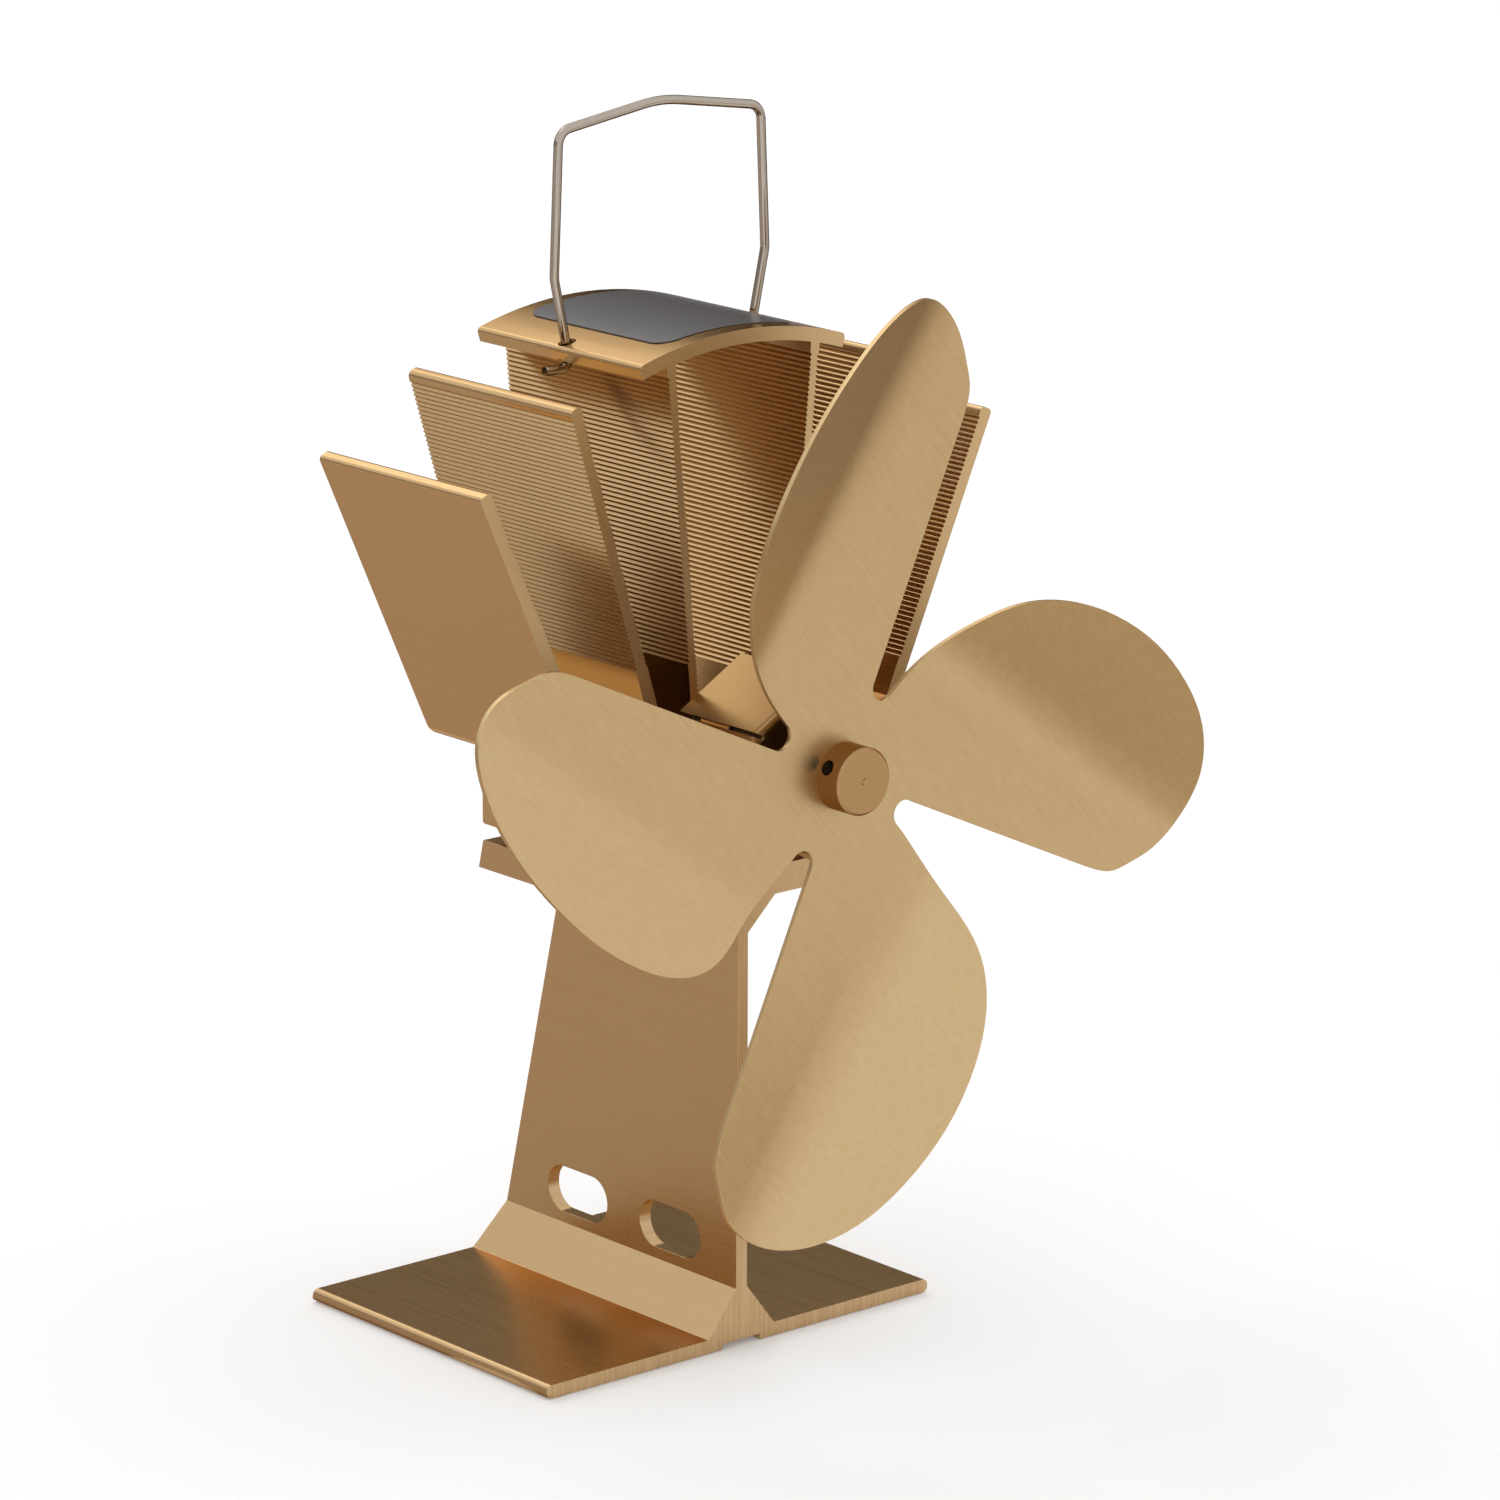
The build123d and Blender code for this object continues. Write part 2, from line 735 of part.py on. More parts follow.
# Leads from the generator up to the motor's terminals
module_front = mid_y - module_side / 2
lead_z = legs_bottom + leg_height / 2
terminal_underside = axis_height - terminal_drop - terminal_thickness / 2
with BuildPart() as leads:
    for side in (-1, 1):
        lead_plane = Plane.YZ.offset(side * terminal_x)
        with BuildLine(lead_plane) as lead_path:
            FilletPolyline(
                (module_front, lead_z),
                (front_y - lead_front, lead_z),
                (front_y - lead_front, terminal_underside),
                radius=lead_bend,
            )
        lead_start = Plane(origin=(side * terminal_x, module_front, lead_z), z_dir=(0, -1, 0))
        with BuildSketch(lead_start):
            RegularPolygon(lead_diameter / 2, lead_sides)
        sweep(path=lead_path.wires()[0])
leads.part.label = "motor_leads"
export_step(leads.part, "parts/motor_leads.step")


# Motor shaft
hub_front = propeller_face + hub_length
shaft_front = hub_front - hub_front_wall - shaft_overhang
shaft = front_rod(axis_places, shaft_diameter, shaft_front, cap_back - shaft_overhang)
shaft.label = "motor_shaft"
export_step(shaft, "parts/motor_shaft.step")


# Armature core, a waist with a tipped pole arm for each coil
core_front = can_front - core_setback
core_diameter = can_inside - 2 * magnet_thickness - 2 * air_gap
tip_inside = core_diameter / 2 - pole_tip
with BuildPart() as core:
    with BuildSketch(front_plane(-core_front)):
        with Locations(*axis_places):
            Circle(core_diameter / 2)
            Circle(tip_inside, mode=Mode.SUBTRACT)
            with PolarLocations(core_diameter / 2, pole_count, start_angle=-90):
                Rectangle(core_diameter / 2, pole_gap, mode=Mode.SUBTRACT)
            Circle(core_waist / 2)
            with PolarLocations(tip_inside / 2, pole_count, start_angle=90):
                Rectangle(tip_inside + pole_tip / 2, pole_arm)
            Circle(shaft_diameter / 2, mode=Mode.SUBTRACT)
    extrude(amount=-core_length)
core.part.label = "armature_core"
export_step(core.part, "parts/armature_core.step")


# Windings, one block of wire around each pole arm
coil_inner, coil_outer = coil_reach
with BuildPart() as windings:
    with BuildSketch(front_plane(-core_front - coil_overhang)):
        with Locations(*axis_places):
            with PolarLocations((coil_inner + coil_outer) / 2, pole_count, start_angle=90):
                Rectangle(coil_outer - coil_inner, pole_arm + 2 * coil_width)
    extrude(amount=-core_length - 2 * coil_overhang)
    add(core.part, mode=Mode.SUBTRACT)
windings.part.label = "armature_windings"
export_step(windings.part, "parts/armature_windings.step")


# Commutator, with a slit between its segments
commutator_front = can_front - commutator_setback
with BuildPart() as commutator:
    with BuildSketch(front_plane(-commutator_front)):
        with Locations(*axis_places):
            Circle(commutator_diameter / 2)
            with PolarLocations(commutator_diameter / 2, pole_count, start_angle=90):
                Rectangle(commutator_diameter / 2, commutator_slit, mode=Mode.SUBTRACT)
            Circle(commutator_sleeve / 2)
            Circle(shaft_diameter / 2, mode=Mode.SUBTRACT)
    extrude(amount=-commutator_length)
commutator.part.label = "commutator"
export_step(commutator.part, "parts/commutator.step")


# Hub, turned, with a spigot through the propeller and a rivet collar behind it
rivet_front = propeller_face - propeller_thickness
rivet_back = rivet_front - hub_rivet_height
screw_plane = Plane(
    origin=(0, front_y - hub_front + set_screw_setback, axis_height),
    z_dir=(-sin(radians(set_screw_turn)), 0, cos(radians(set_screw_turn))),
)
with BuildPart() as hub:
    add(front_rod(axis_places, hub_diameter, hub_front, propeller_face))
    chamfer(hub.faces().sort_by(Axis.Y)[0].edges(), hub_chamfer)
    add(front_rod(axis_places, hub_spigot, propeller_face, rivet_front))
    add(front_rod(axis_places, hub_rivet_diameter, rivet_front, rivet_back))
    bore_end = hub_front - hub_front_wall
    add(front_rod(axis_places, shaft_diameter, bore_end, rivet_back), mode=Mode.SUBTRACT)
    with BuildSketch(front_plane(-hub_front)):
        with Locations(*axis_places):
            Circle(hub_dimple)
    extrude(amount=-hub_dimple / 2, taper=hub_dimple_angle, mode=Mode.SUBTRACT)
    with BuildSketch(screw_plane):
        Circle(set_screw_diameter / 2)
    extrude(amount=hub_diameter, mode=Mode.SUBTRACT)
hub.part.label = "hub"
export_step(hub.part, "parts/hub.step")

with BuildPart() as set_screw:
    with BuildSketch(screw_plane.offset(shaft_diameter / 2)):
        Circle(set_screw_diameter / 2)
    extrude(amount=set_screw_length)
    with BuildSketch(screw_plane.offset(shaft_diameter / 2 + set_screw_length / 2)):
        RegularPolygon(set_screw_socket / 2, 6)
    extrude(amount=set_screw_length, mode=Mode.SUBTRACT)
set_screw.part.label = "hub_set_screw"
export_step(set_screw.part, "parts/hub_set_screw.step")


# Propeller, four blades of one sheet, each rolled forward along its leading side
def notch_point(turn, along):
    """Point on the notch's rim, the notch turned about the axis, the rim point by its angle."""
    centre = Vector(*notch_centre).rotate(Axis.Z, turn)
    reach = Vector(notch_radius, 0).rotate(Axis.Z, along)
    return Vector(centre.X + reach.X, centre.Y + reach.Y)


notch_lean = atan2(notch_centre[1], notch_centre[0]) * 180 / pi
edge_direction = Vector(sin(radians(edge_lean)), cos(radians(edge_lean)))
bulge_direction = Vector(-sin(radians(bulge_lean)), cos(radians(bulge_lean)))
edge_start = notch_point(0, 180 - edge_lean)
bulge_start = notch_point(90, bulge_lean)
bend_across = (-cos(radians(bend_lean)), 0, sin(radians(bend_lean)))
bend_along = (sin(radians(bend_lean)), 0, cos(radians(bend_lean)))
spin_axis = Axis((0, 0, axis_height), (0, 1, 0))

with BuildPart() as blade:
    with BuildSketch(Plane((0, front_y - propeller_face, axis_height), bend_across, bend_along)):
        with BuildLine():
            flat = Line((-propeller_radius, 0), (bend_offset, 0))
            roll = JernArc(flat @ 1, flat % 1, bend_inside, bend_angle)
            Line(roll @ 1, (roll @ 1) + (roll % 1) * propeller_radius)
            offset(amount=propeller_thickness, side=Side.RIGHT)
        make_face()
    extrude(amount=propeller_radius, both=True)
    with BuildSketch(Plane((0, front_y, axis_height), (1, 0, 0), (0, -1, 0))):
        with BuildLine():
            edge_stop = Vector(*edge_end) * propeller_radius
            Spline(
                bulge_start,
                *[Vector(*share) * propeller_radius for share in bulge_shares],
                edge_stop,
                tangents=(bulge_direction, edge_direction * -1),
            )
            Line(edge_stop, edge_start)
            ThreePointArc(
                edge_start,
                notch_point(0, (notch_lean + 180 - edge_lean + 180 + notch_lean) / 2),
                notch_point(0, notch_lean + 180),
            )
            Line(notch_point(0, notch_lean + 180), (0, 0))
            Line((0, 0), notch_point(90, notch_lean + 270))
            ThreePointArc(
                notch_point(90, notch_lean + 270),
                notch_point(90, (notch_lean + 270 + 360 + bulge_lean) / 2),
                bulge_start,
            )
        make_face()
    extrude(amount=propeller_radius, mode=Mode.INTERSECT)

with BuildPart() as propeller:
    for i in range(blade_count):
        add(blade.part.rotate(spin_axis, i * 360 / blade_count))
    add(front_rod(axis_places, hub_spigot, propeller_face, rivet_front), mode=Mode.SUBTRACT)
propeller.part.label = "propeller"
export_step(propeller.part, "parts/propeller.step")
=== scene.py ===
from math import cos, radians, sin

import bpy
from mathutils import Matrix, Vector


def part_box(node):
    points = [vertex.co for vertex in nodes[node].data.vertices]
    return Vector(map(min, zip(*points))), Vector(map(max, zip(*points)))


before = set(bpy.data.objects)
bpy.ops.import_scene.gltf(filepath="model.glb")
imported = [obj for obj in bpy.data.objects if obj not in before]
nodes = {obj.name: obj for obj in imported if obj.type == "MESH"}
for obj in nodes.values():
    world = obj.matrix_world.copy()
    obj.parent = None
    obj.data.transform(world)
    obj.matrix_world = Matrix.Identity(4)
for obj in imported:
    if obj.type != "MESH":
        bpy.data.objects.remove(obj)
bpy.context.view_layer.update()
bpy.ops.object.select_all(action="DESELECT")


# Stand. One length of extruded aluminium with a wide foot, a thin stem and a flange, sawn square
# in front and on a slant behind, its two slots milled afterwards, then etched and anodised
# champagne gold.
def linear(colour):
    """sRGB hex colour as the linear value that a shader takes."""
    shares = [int(colour[i:i + 2], 16) / 255 for i in (1, 3, 5)]
    curve = (c / 12.92 if c <= 0.04045 else ((c + 0.055) / 1.055) ** 2.4 for c in shares)
    return tuple(curve) + (1.0,)


def add(tree, kind, settings=None, inputs=None):
    """Adds a node, sets its properties, and sets or links its sockets."""
    node = tree.nodes.new(kind)
    for name, value in (settings or {}).items():
        setattr(node, name, value)
    for name, value in (inputs or {}).items():
        if isinstance(value, bpy.types.NodeSocket):
            tree.links.new(value, node.inputs[name])
        else:
            node.inputs[name].default_value = value
    return node


def grain(tree, size, stretch=(1, 1, 1), turn=(0, 0, 0), detail=2.0):
    """Noise with spots of a real size in metres, drawn out along the axes after a turn."""
    place = add(tree, "ShaderNodeTexCoord").outputs["Object"]
    turned = add(tree, "ShaderNodeMapping", inputs={"Vector": place, "Rotation": turn}).outputs[0]
    scale = [1 / (size * share) for share in stretch]
    scaled = add(tree, "ShaderNodeMapping", inputs={"Vector": turned, "Scale": scale}).outputs[0]
    spots = {"Vector": scaled, "Scale": 1.0, "Detail": detail}
    return add(tree, "ShaderNodeTexNoise", inputs=spots).outputs["Fac"]


def finish(name, pattern, deep, light, rough, relief, **shader_values):
    """A material whose pattern tints it from deep to light, roughens it and stands in relief.

    The relief is in metres. A dyed oxide layer has an edge tint: seen along the surface, light
    crosses more dye and comes back browner.
    """
    material = bpy.data.materials.new(name)
    material.use_nodes = True
    tree = material.node_tree
    shader = tree.nodes["Principled BSDF"]
    for key, value in shader_values.items():
        shader.inputs[key.replace("_", " ")].default_value = value
    mark = pattern(tree)
    tones = {0: mark, 6: linear(deep), 7: linear(light)}
    tint = add(tree, "ShaderNodeMix", {"data_type": "RGBA"}, tones)
    tree.links.new(tint.outputs[2], shader.inputs["Base Color"])
    spread = {"Value": mark, "To Min": rough[0], "To Max": rough[1]}
    gloss = add(tree, "ShaderNodeMapRange", inputs=spread)
    tree.links.new(gloss.outputs[0], shader.inputs["Roughness"])
    height = {"Height": mark, "Strength": 1.0, "Distance": relief}
    bump = add(tree, "ShaderNodeBump", inputs=height)
    tree.links.new(bump.outputs[0], shader.inputs["Normal"])
    return material


def dress(material, *names):
    """Gives a material to CAD nodes."""
    for name in names:
        nodes[name].data.materials.clear()
        nodes[name].data.materials.append(material)


# Faces of one curve are shaded as one, and only real edges stay crisp.
crisp_angle = radians(50)
smoothing = bpy.data.node_groups.new("smooth_but_for_edges", "GeometryNodeTree")
for side in ("INPUT", "OUTPUT"):
    smoothing.interface.new_socket("Geometry", in_out=side, socket_type="NodeSocketGeometry")
entry = add(smoothing, "NodeGroupInput").outputs[0]
fold = add(smoothing, "GeometryNodeInputMeshEdgeAngle").outputs[0]
sharper = {"operation": "GREATER_THAN"}
crisp = add(smoothing, "FunctionNodeCompare", sharper, {0: fold, 1: crisp_angle})
soft = add(smoothing, "GeometryNodeSetShadeSmooth", inputs={0: entry})
kept = add(smoothing, "GeometryNodeSetShadeSmooth", {"domain": "EDGE"})
smoothing.links.new(soft.outputs[0], kept.inputs[0])
smoothing.links.new(crisp.outputs[0], kept.inputs[1])
kept.inputs[2].default_value = False
smoothing.links.new(kept.outputs[0], add(smoothing, "NodeGroupOutput").inputs[0])

same_point = 0.00001
same_plane = radians(0.3)
broken_angle = radians(35)


def break_edges(width, *names):
    """Rounds the sharp edges of CAD nodes by a width in metres, and shades their curves smooth."""
    for name in names:
        steps = nodes[name].modifiers
        merged = steps.new("merged", "WELD")
        merged.merge_threshold = same_point
        flat = steps.new("flat_faces", "DECIMATE")
        flat.decimate_type = "DISSOLVE"
        flat.angle_limit = same_plane
        if width:
            rounded = steps.new("broken_edges", "BEVEL")
            rounded.width = width
            rounded.segments = 2
            rounded.limit_method = "ANGLE"
            rounded.angle_limit = broken_angle
        steps.new("shading", "NODES").node_group = smoothing
        weighted = steps.new("flat_shading", "WEIGHTED_NORMAL")
        weighted.keep_sharp = True


extrusion_light = "#CBAD83"
extrusion_deep = "#C1A178"

# The dye lies deeper in the stand than in the other gold pieces, so its edge tint is browner.
edge_tint = linear("#E2C8B4")
deep_edge_tint = linear("#D2B49B")

# Die lines, saw strokes and cutter marks are really about 0.1 mm apart, and stand wider to show.
die_line = 0.0004
die_line_stretch = (1, 150, 1)
saw_stroke = 0.0006
saw_stroke_stretch = (1, 40, 40)
cutter_mark = 0.0005
slot_height_above_floor = 0.0186
slot_half_height = 0.0052
slots_middle_y = 0.0175
slots_half_length = 0.0275
most_sideways = 0.5
stand_edge = 0.00018


def squareness(tree):
    """How squarely a face looks along the fan's axis, from 0 to 1."""
    facing = add(tree, "ShaderNodeTexCoord").outputs["Normal"]
    along = add(tree, "ShaderNodeSeparateXYZ", inputs={0: facing}).outputs["Y"]
    return add(tree, "ShaderNodeMath", {"operation": "ABSOLUTE"}, {0: along}).outputs[0]


def cut_end(tree, least=0.9):
    """1 on faces that look along the fan's axis, and 0 on the others."""
    limits = {0: squareness(tree), 1: least}
    return add(tree, "ShaderNodeMath", {"operation": "GREATER_THAN"}, limits).outputs[0]


def extruded(tree):
    """Die lines along the extrusion, strokes up its sawn ends, and cutter marks in its slots."""
    coordinates = add(tree, "ShaderNodeTexCoord")
    facing = add(tree, "ShaderNodeSeparateXYZ", inputs={0: coordinates.outputs["Normal"]})
    place = add(tree, "ShaderNodeSeparateXYZ", inputs={0: coordinates.outputs["Object"]})
    lines = grain(tree, die_line, die_line_stretch)
    strokes = grain(tree, saw_stroke, saw_stroke_stretch)
    sharpened = {
        "Value": strokes, "From Min": 0.3, "From Max": 0.7, "To Min": -0.6, "To Max": 1.2,
    }
    strokes = add(tree, "ShaderNodeMapRange", inputs=sharpened).outputs[0]
    ends = {0: cut_end(tree), 2: lines, 3: strokes}
    marks = add(tree, "ShaderNodeMix", inputs=ends).outputs[0]
    milled = 1.0
    for value, middle, reach in (
        (place.outputs["Z"], slot_height_above_floor, slot_half_height),
        (place.outputs["Y"], slots_middle_y, slots_half_length),
        (facing.outputs["X"], 0.0, most_sideways),
    ):
        limits = {0: value, 1: middle, 2: reach}
        near = add(tree, "ShaderNodeMath", {"operation": "COMPARE"}, limits).outputs[0]
        both = add(tree, "ShaderNodeMath", {"operation": "MULTIPLY"}, {0: near, 1: milled})
        milled = both.outputs[0]
    cuts = grain(tree, cutter_mark, detail=4.0)
    return add(tree, "ShaderNodeMix", inputs={0: milled, 2: marks, 3: cuts}).outputs[0]


# Anodised aluminium is a satin metal: it mirrors the room as soft patches, drawn out by its lines.
gold_extrusion = finish(
    "anodised_extruded_aluminium", extruded, extrusion_deep, extrusion_light, (0.25, 0.31),
    0.000003, Metallic=1.0, Specular_Tint=deep_edge_tint,
)
dress(gold_extrusion, "stand")
break_edges(stand_edge, "stand")

# Thermal pads. Two thin sheets of grey silicone rubber, cut with a knife, that fill the gaps on
# both sides of the generator module. They are matt and slightly mottled.
pad_mottle = 0.0006
thermal_silicone = finish(
    "silicone_thermal_pad", lambda tree: grain(tree, pad_mottle), "#8F9190", "#A9ABA8",
    (0.6, 0.75), 0.00002,
)
dress(thermal_silicone, "lower_thermal_pad", "upper_thermal_pad")
break_edges(0, "lower_thermal_pad", "upper_thermal_pad")

# Generator module. Rows of bismuth telluride posts, a dull dark metal, soldered between two
# plates of fired alumina, which is chalky and off-white, and closed all round by a bead of
# smooth white silicone.
ceramic_grain = 0.0002
crystal_grain = 0.0002
bead_ripple = 0.0015
ceramic_edge = 0.00008
alumina = finish(
    "fired_alumina", lambda tree: grain(tree, ceramic_grain, detail=4.0), "#DAD7CC", "#ECE9E0",
    (0.45, 0.6), 0.00001,
)
telluride = finish(
    "bismuth_telluride", lambda tree: grain(tree, crystal_grain, (1, 1, 6)), "#4C4B50",
    "#6E6D72", (0.3, 0.5), 0.00001, Metallic=0.9,
)
module_silicone = finish(
    "silicone_bead", lambda tree: grain(tree, bead_ripple, (1, 1, 0.5)), "#CFCDC5", "#E2E0D8",
    (0.45, 0.55), 0.0001,
)
dress(alumina, "generator_hot_ceramic", "generator_cold_ceramic")
dress(telluride, "generator_legs")
dress(module_silicone, "generator_seal")
break_edges(ceramic_edge, "generator_hot_ceramic", "generator_cold_ceramic")
break_edges(0, "generator_legs", "generator_seal")

# Clamp. Two bushes of matt brown fibre laminate keep the heat out of two black oxide socket
# screws, which pull the heat sink down on the module over bright zinc-plated spring washers.
fibre_ply = 0.0003
zinc_cloud = 0.0008
oxide_grain = 0.0004
screw_edge = 0.0001
fibre_laminate = finish(
    "phenolic_fibre", lambda tree: grain(tree, fibre_ply, (1, 1, 0.3)), "#3D2718", "#5A3C26",
    (0.45, 0.6), 0.00002,
)
zinc_plate = finish(
    "zinc_plated_steel", lambda tree: grain(tree, zinc_cloud, (1, 0.3, 1)), "#A9ADB3",
    "#C6C9CD", (0.25, 0.38), 0.000006, Metallic=1.0,
)
black_oxide = finish(
    "black_oxide_steel", lambda tree: grain(tree, oxide_grain, detail=4.0), "#161514",
    "#2B2927", (0.3, 0.45), 0.000008, Metallic=0.8,
)
dress(fibre_laminate, "clamp_bushes")
dress(zinc_plate, "clamp_spring_washers")
dress(black_oxide, "clamp_screws")
break_edges(screw_edge, "clamp_bushes", "clamp_spring_washers", "clamp_screws")


# Heat sink. One length of extruded aluminium with six ribbed fins and an arched top plate, sawn
# square at both ends and anodised with the stand. It is etched longer, so die lines hardly show,
# its sawn ends are matt and paler, and the rounded tops of its ribs catch the light as lines.
line_share = 0.25
rib_edge = 0.00012


def etched(tree):
    """Faint die lines along the extrusion, and sawn ends that the etch left matt and pale."""
    lines = grain(tree, die_line, die_line_stretch)
    faint = {0: lines, 1: line_share}
    faint = add(tree, "ShaderNodeMath", {"operation": "MULTIPLY"}, faint).outputs[0]
    paler = {0: cut_end(tree), 1: 1 - line_share, 2: faint}
    return add(tree, "ShaderNodeMath", {"operation": "MULTIPLY_ADD"}, paler).outputs[0]


etched_extrusion = finish(
    "etched_extruded_aluminium", etched, "#C6A77B", "#D8BA8C", (0.2, 0.42), 0.000003,
    Metallic=1.0, Specular_Tint=edge_tint,
)
dress(etched_extrusion, "heat_sink")
break_edges(rib_edge, "heat_sink")

# Label. A sticker of dark grey vinyl under clear film, left bare, pressed down on the top plate.
# The film makes it glossy, with a faint ripple from the glue under it.
glue_ripple = 0.004
film_edge = 0.00008
vinyl = finish(
    "laminated_vinyl", lambda tree: grain(tree, glue_ripple), "#423F3D", "#4A4745",
    (0.4, 0.47), 0.000012, Coat_Weight=0.35, Coat_Roughness=0.18,
)
dress(vinyl, "label")
break_edges(film_edge, "label")

# Carry handle. Spring wire 1.8 mm thick, bent cold and nickel plated. It is bright and nearly
# mirror smooth, with the faint long marks of the drawing die. Its colour is set darker than plain
# nickel and its edge tint darker still: painted shade, darkest along the sides of the wire.
drawing_mark = 0.0002
nickel = finish(
    "nickel_plated_wire", lambda tree: grain(tree, drawing_mark, (1, 1, 40)), "#A79D90",
    "#BBB1A4", (0.04, 0.09), 0.000003, Metallic=1.0, Specular_Tint=linear("#726B64"),
)
dress(nickel, "carry_handle")
break_edges(0, "carry_handle")


# Motor bracket. A cup folded from one sheet of brushed aluminium and anodised gold. The brushing
# runs slantwise as it does on the propeller, and the folds are polished by the press.
brushed_slant = radians(-49)

# Real brushing is about 0.05 mm apart, and stands wider to show.
brush_line = 0.00022
dye_streak = 0.0012
streak_share = 0.4
fold_edge = 0.0002


def brushed(tree):
    """Fine slanting lines of the brushed sheet under the soft streaks that the dye leaves."""
    lines = grain(tree, brush_line, (50, 1, 1), (0, brushed_slant, 0), detail=3.0)
    streaks = grain(tree, dye_streak, (3, 1, 1), (0, brushed_slant, 0), detail=4.0)
    shares = {0: streak_share, 2: lines, 3: streaks}
    return add(tree, "ShaderNodeMix", inputs=shares).outputs[0]


folded_sheet = finish(
    "folded_anodised_sheet", brushed, "#997B53", "#AA8B61", (0.25, 0.33), 0.000004,
    Metallic=1.0, Specular_Tint=edge_tint,
)
dress(folded_sheet, "motor_bracket")
break_edges(fold_edge, "motor_bracket")

# Bracket screws and motor screws. Two black oxide socket screws hold the cup's ears to the heat
# sink, and two zinc-plated cross-head screws hold the motor in the cup.
dress(black_oxide, "bracket_screws")
dress(zinc_plate, "motor_screws")
break_edges(screw_edge, "bracket_screws", "motor_screws")


# Motor. A zinc-plated cup drawn from steel sheet, closed by a moulded cap, with dull ferrite
# magnets, porous bronze bearings, bronze brushes, zinc-plated terminals, and two leads in matt
# glass-fibre sleeves.
axis_height = (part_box("motor_shaft")[0].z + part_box("motor_shaft")[1].z) / 2
turned_end = 0.7
draw_ring = 0.0004
mould_grain = 0.0004
sinter_grain = 0.00012
ferrite_grain = 0.0003
rolling_line = 0.0001
sleeve_thread = 0.0003
can_edge = 0.00025
small_edge = 0.0001


def turned(tree, pitch):
    """Rings about the fan's axis on flat ends, and lines round it on the sides.

    The pitch is in metres.
    """
    place = add(tree, "ShaderNodeTexCoord").outputs["Object"]
    along = add(tree, "ShaderNodeSeparateXYZ", inputs={0: place}).outputs["Y"]
    centred = {"Vector": place, "Location": (0, 0, -axis_height), "Scale": (1, 0, 1)}
    offset = add(tree, "ShaderNodeMapping", inputs=centred).outputs[0]
    length = add(tree, "ShaderNodeVectorMath", {"operation": "LENGTH"}, {0: offset})
    sides = {0: cut_end(tree, turned_end), 2: along, 3: length.outputs["Value"]}
    reach = add(tree, "ShaderNodeMix", inputs=sides).outputs[0]
    count = add(tree, "ShaderNodeMath", {"operation": "DIVIDE"}, {0: reach, 1: pitch}).outputs[0]
    rings = {"W": count, "Scale": 1.0}
    return add(tree, "ShaderNodeTexNoise", {"noise_dimensions": "1D"}, rings).outputs[0]


drawn_zinc = finish(
    "drawn_zinc_plated_steel", lambda tree: turned(tree, draw_ring), "#A3A7AC", "#C2C5C9",
    (0.28, 0.4), 0.000006, Metallic=1.0,
)
moulded_nylon = finish(
    "moulded_nylon", lambda tree: grain(tree, mould_grain, detail=3.0), "#1E1E20", "#29292B",
    (0.4, 0.5), 0.00001,
)
sintered_bronze = finish(
    "sintered_bronze", lambda tree: grain(tree, sinter_grain, detail=4.0), "#7C5A30",
    "#A67E48", (0.35, 0.55), 0.00001, Metallic=1.0,
)
ferrite = finish(
    "pressed_ferrite", lambda tree: grain(tree, ferrite_grain, detail=4.0), "#2E2D2E",
    "#414041", (0.55, 0.75), 0.00002,
)
spring_bronze = finish(
    "rolled_bronze", lambda tree: grain(tree, rolling_line, (1, 30, 1)), "#A8793F", "#C79A58",
    (0.25, 0.38), 0.000004, Metallic=1.0,
)
glass_sleeve = finish(
    "glass_fibre_sleeve", lambda tree: grain(tree, sleeve_thread, (1, 1, 0.5)), "#141416",
    "#303034", (0.6, 0.8), 0.00005,
)
dress(drawn_zinc, "motor_can")
dress(moulded_nylon, "motor_end_cap")
dress(sintered_bronze, "front_bearing", "rear_bearing")
dress(ferrite, "motor_magnets")
dress(spring_bronze, "motor_brushes")
dress(zinc_plate, "motor_terminals")
dress(glass_sleeve, "motor_leads")
break_edges(can_edge, "motor_can", "motor_end_cap")
break_edges(small_edge, "front_bearing", "rear_bearing", "motor_terminals")
break_edges(0, "motor_magnets", "motor_brushes", "motor_leads")

# Rotor inside the motor. A bright ground steel shaft, a core of stacked steel laminations half a
# millimetre thick, coils of shiny enamelled copper wire, and a copper commutator.
grinding_ring = 0.00015
lamination = 0.0005
wire_thickness = 0.00025
turning_ring = 0.0002
coil_edge = 0.0003
ground_steel = finish(
    "ground_steel", lambda tree: turned(tree, grinding_ring), "#B9BABC", "#CFD0D2",
    (0.18, 0.28), 0.000003, Metallic=1.0,
)
laminations = finish(
    "laminated_core_steel", lambda tree: grain(tree, lamination, (30, 1, 30), detail=0.0),
    "#5E6064", "#85878B", (0.35, 0.5), 0.00003, Metallic=1.0,
)
magnet_wire = finish(
    "enamelled_copper_wire", lambda tree: grain(tree, wire_thickness, (1, 12, 1)), "#7E3514",
    "#B85F2C", (0.25, 0.4), 0.00004, Metallic=0.8,
)
worn_copper = finish(
    "turned_copper", lambda tree: turned(tree, turning_ring), "#A7623C", "#C98058",
    (0.25, 0.4), 0.000004, Metallic=1.0,
)
dress(ground_steel, "motor_shaft")
dress(laminations, "armature_core")
dress(magnet_wire, "armature_windings")
dress(worn_copper, "commutator")
break_edges(small_edge, "motor_shaft", "armature_core")
break_edges(coil_edge, "armature_windings")
break_edges(0, "commutator")

# Hub. Turned from bar, anodised a deeper copper gold than the sheet, and pressed through the
# propeller. The lathe leaves rings round the small dimple in its face. A black set screw holds it
# on the shaft.
lathe_ring = 0.00035
ring_share = 0.3
hub_edge = 0.0003
set_screw_edge = 0.00005


